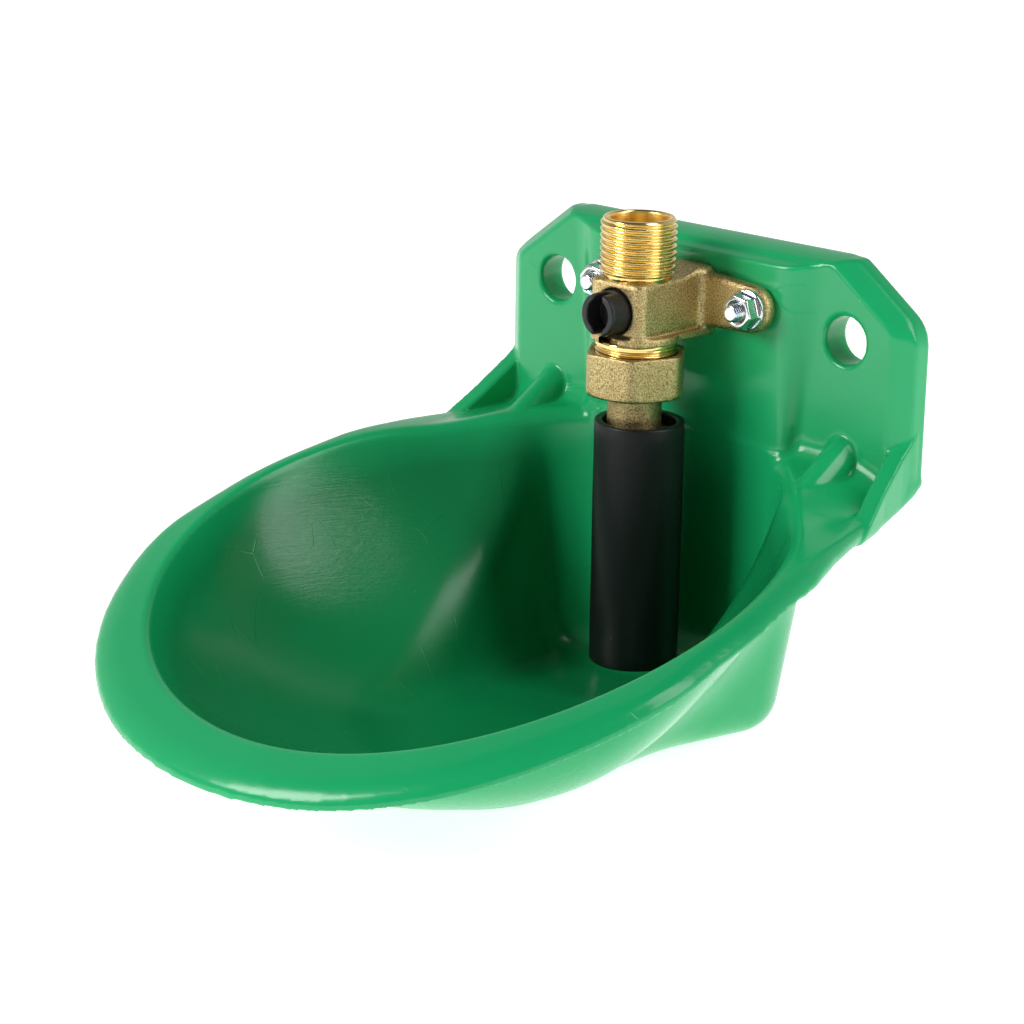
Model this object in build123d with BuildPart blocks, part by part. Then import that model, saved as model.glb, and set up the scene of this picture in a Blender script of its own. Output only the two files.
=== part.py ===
from build123d import *
import os
from math import sin, cos, radians, atan

# Livestock drinking bowl with a tube-operated brass valve.
# Origin: on the wall plane, midway between the two wall-bolt holes.
# +Z up, the bowl reaches forward along -Y, the wall lies at y = 0.

os.makedirs("parts", exist_ok=True)

# ---------------------------------------------------------------- shared dimensions
# back plate and the pad that carries the valve
HOLE_SPACING = 105.0       # wall-bolt holes, centre to centre
HOLE_R = 6.65
PLATE_EDGE_Y = -7.0        # front of the plate's straight edge
PANEL_Y = -10.0            # front of the side panels
PAD_Y = -14.2              # front of the centre pad
PAD_BACK_Y = -10.5         # rear face of the pad
WALL = 3.6                 # moulding wall
PLATE_HALF_W = 73.5
PLATE_TOP = 21.4

# valve body
AXIS_Y = -34.4             # valve axis, in front of the wall
BLOCK_HALF_W = 9.5
BLOCK_FRONT = AXIS_Y - 9.6
BLOCK_BOTTOM = -4.6
THREAD_R = 10.4775         # G1/2 major radius
THREAD_DEPTH = 1.162
THREAD_PITCH = 1.814
THREAD_TOP = 29.5
THREAD_BOTTOM = 12.9
INLET_R = 7.8              # inlet bore
SPIGOT_R = 11.3
SPIGOT_END = -12.6
EAR_X = 26.25              # ear bolt, half spacing
EAR_Z = 5.6
EAR_T = 4.5
EAR_FRONT = PAD_Y - EAR_T
EAR_HOLE_R = 3.3
SCREW_Z = 4.5              # flow screw axis height

# union nut and drop stem
SHOULDER_Z = -17.3         # inner shoulder of the union nut
FLANGE_TOP = -14.85        # flange of the drop stem
FLANGE_BOTTOM = SHOULDER_Z + 0.85
TUBE_BORE_R = 10.2
TUBE_DX = 2.0              # the tube hangs slightly beside the valve axis

# shared places, axes and planes
WALL_HOLES = ((HOLE_SPACING / 2, 0), (-HOLE_SPACING / 2, 0))
EARS = ((-EAR_X, EAR_Z), (EAR_X, EAR_Z))
VALVE_XY = (0, AXIS_Y)
TUBE_XY = (TUBE_DX, AXIS_Y)
VALVE_AXIS = Axis((0, AXIS_Y, 0), (0, 0, 1))
SCREW_AXIS = Axis((0, 0, SCREW_Z), (0, 1, 0))
VALVE_SECTION = Plane.XZ.offset(-AXIS_Y)   # local (radius, z) about the valve axis


def level(z):
    """Horizontal plane at height z."""
    return Plane.XY.offset(z)


def facing(y):
    """Upright plane at y, normal to -Y; local axes are X and Z."""
    return Plane(origin=(0, 0, 0), x_dir=(1, 0, 0), z_dir=(0, -1, 0)).offset(-y)


def symmetric(right):
    """Closed outline from its right half, listed from top to bottom."""
    left = [(-x, z) for x, z in right]
    return left[:1] + right + left[:0:-1]


def groove(crest_r, depth, z, half_mouth, half_root):
    """(radius, z) section of one ring groove, its mouth just outside the crest."""
    return [(crest_r + 0.05, z - half_mouth), (crest_r - depth, z - half_root),
            (crest_r - depth, z + half_root), (crest_r + 0.05, z + half_mouth)]


def save(builder, name):
    builder.part.label = name
    export_step(builder.part, f"parts/{name}.step")


# ---------------------------------------------------------------- bowl: rim
RIM_YC = -100.0            # centre of the outer rim in plan
RIM_R = 96.0               # outer rim, plan radius
RIM_END_ANGLE = 115.0      # end of the rim arc, from straight ahead
LIP_H = 8.0                # height of the turned-down lip
LIP_T = 3.2                # its thickness
TRIM_Z = -130              # plan-shaped cutters start here
TRIM_H = 160
# y stations of the rim curve, front to back
RIM_YS = [-206, -190, -170, -150, -130, -110, -90, -70, -50, -30, -15, -6.6]
# (x, y) in plan: from the end of the rim arc back to the side of the plate
RIM_SIDE = [(83.2, -50), (80.4, -40), (77.9, -30), (75.6, -20), (74.0, -10), (73.5, -4)]


def rim_z(y):
    """Side view of the rim: level near the plate, falling away to the front."""
    u = y + 110.0
    return -53.1 + 0.2835 * u - 0.001023 * u * u


def make_rim_slab(top_drop, low_drop, inset):
    """Curved slab between two drops below the rim, trimmed to the inset plan outline."""
    radius = RIM_R - inset
    end_x = radius * sin(radians(RIM_END_ANGLE))
    end_y = RIM_YC - radius * cos(radians(RIM_END_ANGLE))
    side = [(end_x, end_y)] + [(x - inset, y) for x, y in RIM_SIDE]
    with BuildPart() as slab:
        with BuildSketch(Plane.YZ):
            with BuildLine():
                top = Spline(*[(y, rim_z(y) - top_drop) for y in RIM_YS])
                low = Spline(*[(y, rim_z(y) - low_drop) for y in RIM_YS])
                Line(top @ 0, low @ 0)
                Line(top @ 1, low @ 1)
            make_face()
        extrude(amount=120, both=True)
        with BuildSketch(level(TRIM_Z)):
            with BuildLine():
                arc = ThreePointArc((-end_x, end_y), (0, RIM_YC - radius), (end_x, end_y))
                right = Spline(*side, tangents=[(arc % 1), (0, 1)])
                left = Spline(*[(-x, y) for x, y in side],
                              tangents=[(-(arc % 0).X, -(arc % 0).Y), (0, 1)])
                Line(right @ 1, left @ 1)
            make_face()
        extrude(amount=TRIM_H, mode=Mode.INTERSECT)
    return slab.part


rim_solid = make_rim_slab(0, LIP_H, 0)
rim_hollow = make_rim_slab(WALL, 30, LIP_T)

# rim sheet with its turned-down lip
with BuildPart() as rim:
    add(rim_solid)
    add(rim_hollow, mode=Mode.SUBTRACT)

# the dish stays below this surface
with BuildPart() as under_rim:
    with BuildSketch(Plane.YZ):
        with BuildLine():
            top = Spline(*[(y, rim_z(y) - 0.4) for y in RIM_YS])
            Polyline(top @ 0, (RIM_YS[0], -140), (RIM_YS[-1], -140), top @ 1)
        make_face()
    extrude(amount=130, both=True)

# ---------------------------------------------------------------- bowl: basin and sump
BASIN_YC = -98.0           # centre of the basin in plan
BASIN_R = 85.3             # inner edge of the rim, plan radius
BASIN_TOP_Z = -47.0        # middle of the top section
BASIN_SLOPE = 0.30         # forward fall of the top section
FLOOR_Z = -104.4           # inside floor at the middle of the basin
BASIN_ANGLES = [0, 18, 36, 53, 68, 79]   # sections: 0 at the rim, 90 at the floor

SUMP_TOP_Z = -28
SUMP_Z = -109.4            # inside floor below the tube, at the back wall
SUMP_TILT = radians(3.2)   # the floor rises to the front by this
SUMP_FRONT_YC = -94        # centre of the rounded front
SUMP_LOW_BACK_Y = PAD_Y - 0.2


def make_basin(radius, floor_z):
    """Dish lofted through ellipses that level out towards the floor."""
    with BuildPart() as basin:
        for angle in BASIN_ANGLES:
            depth = sin(radians(angle))
            section_r = radius * cos(radians(angle))
            tilt = atan(BASIN_SLOPE * (1 - depth))
            section_z = BASIN_TOP_Z * (1 - depth) + floor_z * depth
            plane = Plane(origin=(0, BASIN_YC, section_z), x_dir=(1, 0, 0),
                          z_dir=(0, -sin(tilt), cos(tilt)))
            with BuildSketch(plane):
                Ellipse(section_r, section_r / cos(tilt))
        loft()
    return basin.part


def make_sump(top, low, floor_z, edge_r):
    """Flat back, rounded corners, tapering forward and down.

    top and low are (half width, back y, back corner radius, front radius).
    """
    low_back_y = low[1]
    low_plane = Plane(origin=(0, low_back_y, floor_z), x_dir=(1, 0, 0),
                      z_dir=(0, sin(SUMP_TILT), cos(SUMP_TILT)))
    sections = ((level(SUMP_TOP_Z), 0, top), (low_plane, low_back_y, low))
    with BuildPart() as sump:
        for plane, origin_y, (half_w, back_y, corner_r, front_r) in sections:
            corner_x = half_w - corner_r
            corner_y = back_y - origin_y - corner_r
            with BuildSketch(plane):
                with Locations((corner_x, corner_y), (-corner_x, corner_y)):
                    Circle(corner_r)
                with Locations((0, SUMP_FRONT_YC - origin_y)):
                    Circle(front_r)
                make_hull()
        loft(ruled=True)
        low_face = sump.faces().sort_by(Axis.Z)[0]
        fillet(low_face.edges(), edge_r)
    return sump.part


basin_outside = make_basin(BASIN_R + WALL, FLOOR_Z - WALL)
basin_cavity = make_basin(BASIN_R, FLOOR_Z)

# the basin cavity stops at the pad face
with BuildPart() as basin_inside:
    add(basin_cavity)
    with BuildSketch(level(TRIM_Z)):
        with Locations((0, PAD_Y - 100)):
            Rectangle(240, 200)
    extrude(amount=TRIM_H, mode=Mode.INTERSECT)

sump_outside = make_sump((57.0 + WALL, PAD_Y + WALL, 22, 60),
                         (38.2 + WALL, SUMP_LOW_BACK_Y + WALL, 16, 30), SUMP_Z - WALL, 10)
sump_inside = make_sump((57.0, PAD_Y, 19, 56),
                        (38.2, SUMP_LOW_BACK_Y, 13, 26.4), SUMP_Z, 7)

# ---------------------------------------------------------------- bowl: plate, pad, gussets
SHOULDER_CORNER_Z = 3.6    # upper side corners of the plate
SHOULDER_CORNER_R = 7
PANEL_HALF_W = 67.8
POCKET_HALF_W = PLATE_HALF_W - 3
PAD_LOW_Z = -34

# (x, z) outlines
PLATE = symmetric([(51.5, PLATE_TOP), (PLATE_HALF_W, SHOULDER_CORNER_Z),
                   (PLATE_HALF_W, -41), (64, -50)])
PANEL = symmetric([(47.4, 20.0), (PANEL_HALF_W, 3.4), (PANEL_HALF_W, -39), (60, -46)])
POCKET = symmetric([(50.2, PLATE_TOP - 3), (POCKET_HALF_W, 2.2),
                    (POCKET_HALF_W, -39.7), (62.8, -47)])

# outline, its y, half width at the upper side corners, corner radius
PLATE_BORDER = ((PLATE, PLATE_EDGE_Y, PLATE_HALF_W, SHOULDER_CORNER_R),
                (PANEL, PANEL_Y, PANEL_HALF_W, 3))

with BuildPart() as plate:
    with BuildSketch(facing(0)):
        Polygon(*PLATE, align=None)
    extrude(amount=-PLATE_EDGE_Y)
    corners = plate.edges().filter_by(Axis.Y).filter_by(
        lambda e: abs(e.center().Z - SHOULDER_CORNER_Z) < 0.5)
    fillet(corners, SHOULDER_CORNER_R)
    # sloped border up to the panels
    for outline, outline_y, half_w, corner_r in PLATE_BORDER:
        with BuildSketch(facing(outline_y)):
            Polygon(*outline, align=None)
            fillet(vertices().filter_by(
                lambda v: abs(abs(v.X) - half_w) < 0.01 and v.Y > 0), corner_r)
    loft(ruled=True)

# two lofts, each from back to front: y, top half width, top z, lower half width
PAD_LOFTS = (
    ((-1, 43.9, PLATE_TOP - 0.2, 38.2), (PANEL_Y, 43.9, 19.2, 38.2)),
    ((PANEL_Y + 0.001, 43.9, 19.2, 38.2), (PAD_Y, 34.9, 18.0, 36.2)),
)

# sloped top, sloped cheeks, flat front
with BuildPart() as pad:
    for sections in PAD_LOFTS:
        for section_y, top_half_w, top_z, low_half_w in sections:
            with BuildSketch(facing(section_y)):
                Polygon(*symmetric([(top_half_w, top_z), (low_half_w, PAD_LOW_Z)]),
                        align=None)
        loft(ruled=True)

WEB_X = 71.9
WEB_T = 4.8
RIB_X = 53.2
RIB_SLOPE = radians(31)

with BuildPart() as gussets:
    # outer: flat webs along the plate edges
    for side in (1, -1):
        with BuildSketch(Plane.YZ.offset(side * WEB_X - WEB_T / 2)):
            Polygon((-6.9, -24.5), (-28.0, -41.0), (-28.0, rim_z(-28) - 6), (-6.9, -40),
                    align=None)
        extrude(amount=WEB_T)
    # inner: round ribs, sloping down to the front
    for side in (1, -1):
        with BuildSketch(Plane(origin=(side * RIB_X, -9.0, -32.9), x_dir=(1, 0, 0),
                               z_dir=(0, -cos(RIB_SLOPE), -sin(RIB_SLOPE)))):
            Circle(5.0)
        extrude(amount=21)

# ---------------------------------------------------------------- bowl: assembly
POCKET_DEPTH = 6.4
BOSS_R = 10.6
BOSS_H = 8
STANDOFF_X = 22
STANDOFF_T = 3

with BuildPart() as bowl:
    add(basin_outside)
    add(sump_outside)
    add(under_rim.part, mode=Mode.INTERSECT)
    add(rim.part)
    # plate, hollow behind, and everything standing on it
    add(plate.part)
    with BuildSketch(facing(0)):
        Polygon(*POCKET, align=None)
    extrude(amount=POCKET_DEPTH, mode=Mode.SUBTRACT)
    add(pad.part)
    add(gussets.part)
    # inside of the dish
    add(basin_inside.part, mode=Mode.SUBTRACT)
    add(sump_inside, mode=Mode.SUBTRACT)
    # recess for the bolt heads behind the pad
    with BuildSketch(facing(0)):
        with Locations((0, 2.0)):
            Rectangle(66, 30)
    extrude(amount=-PAD_BACK_Y, mode=Mode.SUBTRACT)
    # bosses round the wall-bolt holes, reaching the wall
    with BuildSketch(facing(0)):
        with Locations(*WALL_HOLES):
            Circle(BOSS_R)
    extrude(amount=BOSS_H)
    # stand-off ribs that carry the lower back on the wall
    for side in (1, -1):
        with BuildSketch(Plane.YZ.offset(side * STANDOFF_X - STANDOFF_T / 2)):
            Polygon((0, -46), (-11.4, -46), (-12.4, -100), (0, -96), align=None)
        extrude(amount=STANDOFF_T)
    # wall-bolt and ear-bolt holes
    for places, radius in ((WALL_HOLES, HOLE_R), (EARS, EAR_HOLE_R)):
        with BuildSketch(facing(1)):
            with Locations(*places):
                Circle(radius)
        extrude(amount=20, mode=Mode.SUBTRACT)
save(bowl, "bowl")

# ---------------------------------------------------------------- brass valve body
THREAD_GROOVES = 8
UNDERCUT_H = 1.1           # at the foot of the inlet thread
SPIGOT_GROOVES = 5
SPIGOT_PITCH = 1.5
PORT_R = 6.1               # flow screw port
# radius, bottom z, top z: inlet bore, throat, spring pocket, valve chamber
VALVE_BORES = ((INLET_R, 13.4, 40), (3.0, -1, 14), (4.5, -4, 0.3), (8.6, -20, -3.2))
# radius, front y, rear y: flow screw port and the bore behind it
SCREW_BORES = ((PORT_R, BLOCK_FRONT - 1, -39.4), (3.7, -40, AXIS_Y))

with BuildPart() as body:
    # block with flat cheeks running back to the pad
    with BuildSketch(level(BLOCK_BOTTOM)):
        with Locations((0, (BLOCK_FRONT + PAD_Y) / 2)):
            Rectangle(2 * BLOCK_HALF_W, PAD_Y - BLOCK_FRONT)
        fillet(vertices().group_by(Axis.Y)[0], 2.6)
    extrude(amount=THREAD_BOTTOM - BLOCK_BOTTOM)
    # the rear of the block rises a little to the ears
    with BuildSketch(Plane.YZ.offset(-BLOCK_HALF_W)):
        Polygon((AXIS_Y + 6, THREAD_BOTTOM - 1), (PAD_Y, THREAD_BOTTOM - 1), (PAD_Y, 14.4),
                (AXIS_Y + 14, 14.0), (AXIS_Y + 6, THREAD_BOTTOM), align=None)
    extrude(amount=2 * BLOCK_HALF_W)
    # round bottom flange with a web back to the ears
    with BuildSketch(level(BLOCK_BOTTOM)):
        with Locations(VALVE_XY):
            Circle(12.2)
        with Locations((0, (AXIS_Y + PAD_Y) / 2)):
            Rectangle(21.5, PAD_Y - AXIS_Y)
    extrude(amount=2.4)
    # ears against the pad
    with BuildSketch(facing(PAD_Y)):
        with Locations(*EARS):
            Circle(7.3)
        with Locations((0, EAR_Z)):
            Circle(8.4)
        make_hull()
    extrude(amount=EAR_T)
    # inlet thread, made as an undercut and ring grooves
    with BuildSketch(level(THREAD_BOTTOM)):
        with Locations(VALVE_XY):
            Circle(THREAD_R)
    extrude(amount=THREAD_TOP - THREAD_BOTTOM)
    chamfer(body.faces().sort_by(Axis.Z)[-1].edges(), 0.6)
    with BuildSketch(VALVE_SECTION):
        with Locations((THREAD_R, THREAD_BOTTOM + UNDERCUT_H / 2)):
            Rectangle(2 * THREAD_DEPTH, UNDERCUT_H)
        for i in range(THREAD_GROOVES):
            groove_z = THREAD_BOTTOM + 2.3 + i * THREAD_PITCH
            with BuildLine():
                Polyline(*groove(THREAD_R, THREAD_DEPTH, groove_z, 0.70, 0.12), close=True)
            make_face()
    revolve(axis=VALVE_AXIS, mode=Mode.SUBTRACT)
    # grooved spigot for the union nut
    with BuildSketch(level(SPIGOT_END)):
        with Locations(VALVE_XY):
            Circle(SPIGOT_R)
    extrude(amount=BLOCK_BOTTOM - SPIGOT_END + 0.5)
    with BuildSketch(VALVE_SECTION):
        for i in range(SPIGOT_GROOVES):
            groove_z = BLOCK_BOTTOM - (i + 1) * SPIGOT_PITCH
            with BuildLine():
                Polyline(*groove(SPIGOT_R, 0.5, groove_z, 0.55, 0.08), close=True)
            make_face()
    revolve(axis=VALVE_AXIS, mode=Mode.SUBTRACT)
    for radius, bottom_z, top_z in VALVE_BORES:
        with BuildSketch(level(bottom_z)):
            with Locations(VALVE_XY):
                Circle(radius)
        extrude(amount=top_z - bottom_z, mode=Mode.SUBTRACT)
    chamfer(body.edges().filter_by(GeomType.CIRCLE).filter_by(
        lambda e: abs(e.radius - INLET_R) < 0.01 and abs(e.center().Z - THREAD_TOP) < 0.01), 0.6)
    for radius, front_y, rear_y in SCREW_BORES:
        with BuildSketch(facing(rear_y)):
            with Locations((0, SCREW_Z)):
                Circle(radius)
        extrude(amount=rear_y - front_y, mode=Mode.SUBTRACT)
    chamfer(body.edges().filter_by(GeomType.CIRCLE).filter_by(
        lambda e: abs(e.radius - PORT_R) < 0.01 and abs(e.center().Y - BLOCK_FRONT) < 0.01), 0.5)
    # ear bolt holes
    with BuildSketch(facing(PAD_Y + 1)):
        with Locations(*EARS):
            Circle(EAR_HOLE_R)
    extrude(amount=EAR_T + 3, mode=Mode.SUBTRACT)
save(body, "valve_body")

# ---------------------------------------------------------------- inlet strainer
FRAME_R = 7.72

with BuildPart() as strainer_frame:
    # bottom z, inner radius, height: a flat ring and the thinner wall above it
    for bottom_z, inner_r, height in ((13.45, 6.3, 0.8), (14.2, 7.0, 1.5)):
        with BuildSketch(level(bottom_z)):
            with Locations(VALVE_XY):
                Circle(FRAME_R)
                Circle(inner_r, mode=Mode.SUBTRACT)
        extrude(amount=height)
save(strainer_frame, "strainer_frame")

MESH_HOLE_R = 0.62         # corner radius of the hexagonal holes
MESH_RINGS = ((1, 0.0), (6, 2.0), (12, 4.0), (18, 5.9))   # hole count, ring radius

with BuildPart() as strainer_mesh:
    with BuildSketch(level(14.3)):
        with Locations(VALVE_XY):
            Circle(6.95)
            for count, ring_r in MESH_RINGS:
                with PolarLocations(ring_r, count):
                    RegularPolygon(MESH_HOLE_R, 6, mode=Mode.SUBTRACT)
    extrude(amount=0.5)
save(strainer_mesh, "strainer_mesh")

# ---------------------------------------------------------------- seat, poppet and spring
SEAT_Z = -9.2
SEAT_R = 8.52              # outside of the seat insert
SEAT_BORE_R = 3.0
SEAT_BOTTOM = SPIGOT_END + 0.05
SEAT_GROOVE_TOP = -10.9
SEAT_GROOVE_BOTTOM = -11.9

with BuildPart() as seat_insert:
    with BuildSketch(VALVE_SECTION):
        Polygon((SEAT_BORE_R, SEAT_BOTTOM), (SEAT_R, SEAT_BOTTOM),
                (SEAT_R, SEAT_GROOVE_BOTTOM), (7.9, SEAT_GROOVE_BOTTOM),
                (7.9, SEAT_GROOVE_TOP), (SEAT_R, SEAT_GROOVE_TOP),
                (SEAT_R, -10.2), (4.2, -10.2), (3.7, SEAT_Z), (SEAT_BORE_R, SEAT_Z),
                align=None)
    revolve(axis=VALVE_AXIS)
save(seat_insert, "seat_insert")

with BuildPart() as seat_o_ring:
    with BuildSketch(VALVE_SECTION):
        with Locations((8.25, (SEAT_GROOVE_TOP + SEAT_GROOVE_BOTTOM) / 2)):
            Circle(0.31)
    revolve(axis=VALVE_AXIS)
save(seat_o_ring, "seat_o_ring")

PIN_R = 1.4
CLIP_GROOVE_R = 1.1

with BuildPart() as poppet:
    # pin with a clip groove, a disc above it and a short stub on top
    with BuildSketch(VALVE_SECTION):
        Polygon((0, FLANGE_TOP + 0.06), (1.0, FLANGE_TOP + 0.06), (PIN_R, FLANGE_TOP + 0.5),
                (PIN_R, -9.95), (CLIP_GROOVE_R, -9.95), (CLIP_GROOVE_R, -9.55),
                (PIN_R, -9.55), (PIN_R, -7.1), (5.6, -7.1), (5.6, -5.9),
                (2.4, -5.9), (2.4, -4.6), (0, -4.6), align=None)
    revolve(axis=VALVE_AXIS)
save(poppet, "poppet")

with BuildPart() as poppet_washer:
    with BuildSketch(level(SEAT_Z + 0.02)):
        with Locations(VALVE_XY):
            Circle(5.3)
            Circle(PIN_R + 0.05, mode=Mode.SUBTRACT)
    extrude(amount=2.0)
    fillet(poppet_washer.edges().filter_by(GeomType.CIRCLE).filter_by(
        lambda e: e.radius > 5), 0.3)
save(poppet_washer, "poppet_washer")

with BuildPart() as poppet_clip:
    with BuildSketch(level(-9.92)):
        with Locations(VALVE_XY):
            Circle(2.4)
            Circle(CLIP_GROOVE_R + 0.05, mode=Mode.SUBTRACT)
        # open to the front
        with Locations((0, AXIS_Y - 2)):
            Rectangle(1.5, 4, mode=Mode.SUBTRACT)
    extrude(amount=0.34)
save(poppet_clip, "poppet_clip")

SPRING_R = 3.2
SPRING_WIRE_R = 0.4
SPRING_BOTTOM = -5.45

with BuildPart() as poppet_spring:
    with BuildLine(Plane((0, AXIS_Y, SPRING_BOTTOM))) as coil:
        Helix(pitch=1.28, height=5.2, radius=SPRING_R)
    with BuildSketch(Plane(origin=coil.line @ 0, z_dir=coil.line % 0)):
        Circle(SPRING_WIRE_R)
    sweep(path=coil.line, is_frenet=True)
save(poppet_spring, "poppet_spring")

# ---------------------------------------------------------------- union nut and thrust washer
NUT_TOP = -7.5
NUT_BOTTOM = -19.8
NUT_AF = 26.0              # across flats
NUT_TURN = 6.7             # degrees about the valve axis
NUT_BORE_R = SPIGOT_R + 0.06

with BuildPart() as union_nut:
    with BuildSketch(level(NUT_BOTTOM)):
        with Locations(Location((0, AXIS_Y), NUT_TURN)):
            RegularPolygon(NUT_AF / 2, 6, major_radius=False)
        fillet(vertices(), 1.8)
    extrude(amount=NUT_TOP - NUT_BOTTOM)
    # stepped bore
    with BuildSketch(VALVE_SECTION):
        Polygon((0, NUT_BOTTOM - 1), (8.6, NUT_BOTTOM - 1), (8.6, SHOULDER_Z),
                (10.9, SHOULDER_Z), (10.9, SPIGOT_END - 0.6),
                (NUT_BORE_R, SPIGOT_END - 0.6), (NUT_BORE_R, NUT_TOP - 0.7),
                (12.1, NUT_TOP + 0.06), (12.1, NUT_TOP + 1), (0, NUT_TOP + 1), align=None)
    revolve(axis=VALVE_AXIS, mode=Mode.SUBTRACT)
    # bevelled foot of the hexagon
    with BuildSketch(VALVE_SECTION):
        Polygon((13.6, NUT_BOTTOM - 0.1), (16.5, NUT_BOTTOM - 0.1), (16.5, NUT_BOTTOM + 1.4),
                (14.9, NUT_BOTTOM + 1.1), align=None)
    revolve(axis=VALVE_AXIS, mode=Mode.SUBTRACT)
save(union_nut, "union_nut")

with BuildPart() as thrust_washer:
    with BuildSketch(level(SHOULDER_Z + 0.02)):
        with Locations(VALVE_XY):
            Circle(10.8)
            Circle(8.7, mode=Mode.SUBTRACT)
    extrude(amount=0.78)
save(thrust_washer, "thrust_washer")

# ---------------------------------------------------------------- drop stem and tube
FLANGE_R = 10.0
NECK_R = 7.55
NECK_LENGTH = 20.5
BARB_TOPS = (-30.5, -33.5, -36.5)
BARB_H = 3.0
STEM_BORE_BOTTOM = -42

with BuildPart() as drop_stem:
    with BuildSketch(level(FLANGE_BOTTOM)):
        with Locations(VALVE_XY):
            Circle(FLANGE_R)
    extrude(amount=FLANGE_TOP - FLANGE_BOTTOM)
    with BuildSketch(level(FLANGE_BOTTOM)):
        with Locations(VALVE_XY):
            Circle(NECK_R)
    extrude(amount=-NECK_LENGTH)
    # barbs that hold the tube
    for barb_top in BARB_TOPS:
        with BuildSketch(level(barb_top - BARB_H)):
            with Locations(TUBE_XY):
                Circle(9.7)
        with BuildSketch(level(barb_top)):
            with Locations(TUBE_XY):
                Circle(TUBE_BORE_R - 0.03)
        loft(ruled=True)
    with BuildSketch(level(STEM_BORE_BOTTOM)):
        with Locations(VALVE_XY):
            Circle(5.5)
    extrude(amount=FLANGE_BOTTOM - STEM_BORE_BOTTOM, mode=Mode.SUBTRACT)
    # water ports through the flange, round its centre
    with BuildSketch(level(FLANGE_BOTTOM - 1)):
        with Locations(VALVE_XY):
            with PolarLocations(4.0, 4, start_angle=45):
                Circle(1.45)
    extrude(amount=4, mode=Mode.SUBTRACT)
save(drop_stem, "drop_stem")

TUBE_R = 12.5
TUBE_TOP = -27.0
TUBE_BOTTOM = -97.0

with BuildPart() as drop_tube:
    with BuildSketch(level(TUBE_BOTTOM)):
        with Locations(TUBE_XY):
            Circle(TUBE_R)
            Circle(TUBE_BORE_R, mode=Mode.SUBTRACT)
    extrude(amount=TUBE_TOP - TUBE_BOTTOM)
    chamfer(drop_tube.edges().filter_by(GeomType.CIRCLE), 0.3)
save(drop_tube, "drop_tube")

# ---------------------------------------------------------------- flow screw
SCREW_R = 6.0
SCREW_FRONT = BLOCK_FRONT - 6.7
SCREW_BACK = -41.5         # rear of the full-diameter part
TIP_LENGTH = 3.4
SEAL_Y = -42.75

with BuildPart() as regulator_screw:
    with BuildSketch(facing(SCREW_BACK)):
        with Locations((0, SCREW_Z)):
            Circle(SCREW_R)
    extrude(amount=SCREW_BACK - SCREW_FRONT)
    front_rim = regulator_screw.faces().sort_by(Axis.Y)[0].edges()
    chamfer(front_rim, 0.5)
    # driver socket and cross slot
    with BuildSketch(facing(SCREW_FRONT + 5.5)):
        with Locations((0, SCREW_Z)):
            Circle(3.9)
            Rectangle(2.5, 13)
    extrude(amount=7, mode=Mode.SUBTRACT)
    # full disc that forms the socket floor
    with BuildSketch(facing(SCREW_FRONT + 5.4)):
        with Locations((0, SCREW_Z)):
            Circle(SCREW_R)
    extrude(amount=-0.6)
    # seal groove
    with BuildSketch(Plane.YZ):
        with Locations((SEAL_Y, SCREW_Z + 5.6)):
            Rectangle(1.2, 1.3)
    revolve(axis=SCREW_AXIS, mode=Mode.SUBTRACT)
    # throttling tip with a tapered end
    with BuildSketch(facing(SCREW_BACK)):
        with Locations((0, SCREW_Z)):
            Circle(3.55)
    extrude(amount=-TIP_LENGTH)
    with BuildSketch(facing(SCREW_BACK + TIP_LENGTH)):
        with Locations((0, SCREW_Z)):
            Circle(3.0)
    extrude(amount=-0.65, taper=20)
save(regulator_screw, "regulator_screw")

with BuildPart() as regulator_o_ring:
    with BuildSketch(Plane.YZ):
        with Locations((SEAL_Y, SCREW_Z + 5.53)):
            Circle(0.5)
    revolve(axis=SCREW_AXIS)
save(regulator_o_ring, "regulator_o_ring")

# ---------------------------------------------------------------- clamp bolts, washers, nuts
WASHER_T = 1.2
GAP = 0.02                 # clearance between touching faces
HEAD_FRONT = PAD_BACK_Y + WASHER_T + 2 * GAP
HEAD_H = 4.0
HEX_INNER_R = 5.0          # half across flats, bolt heads and nuts
SHANK_BACK = HEAD_FRONT + 0.5
BOLT_END = -27.2

with BuildPart() as clamp_washers:
    with BuildSketch(facing(PAD_BACK_Y + GAP + WASHER_T)):
        with Locations(*EARS):
            Circle(6.2)
            Circle(3.25, mode=Mode.SUBTRACT)
    extrude(amount=WASHER_T)
save(clamp_washers, "clamp_washers")

with BuildPart() as clamp_bolts:
    with BuildSketch(facing(HEAD_FRONT + HEAD_H)):
        with Locations(*EARS):
            RegularPolygon(HEX_INNER_R, 6, major_radius=False)
    extrude(amount=HEAD_H)
    with BuildSketch(facing(SHANK_BACK)):
        with Locations(*EARS):
            Circle(2.98)
    extrude(amount=SHANK_BACK - BOLT_END)
    tips = clamp_bolts.faces().filter_by(lambda f: abs(f.center().Y - BOLT_END) < 0.01)
    chamfer(tips.edges(), 0.6)
    # ring grooves for the thread on the free end
    for side in (1, -1):
        with BuildSketch(Plane.YZ.offset(side * EAR_X)):
            for i in range(3):
                groove_y = BOLT_END + 1.15 + i * 1.0
                with BuildLine():
                    Polyline((groove_y - 0.42, EAR_Z + 3.05), (groove_y, EAR_Z + 2.42),
                             (groove_y + 0.42, EAR_Z + 3.05), close=True)
                make_face()
        revolve(axis=Axis((side * EAR_X, 0, EAR_Z), (0, 1, 0)), mode=Mode.SUBTRACT)
save(clamp_bolts, "clamp_bolts")

NUT_BACK = EAR_FRONT - GAP

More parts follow.
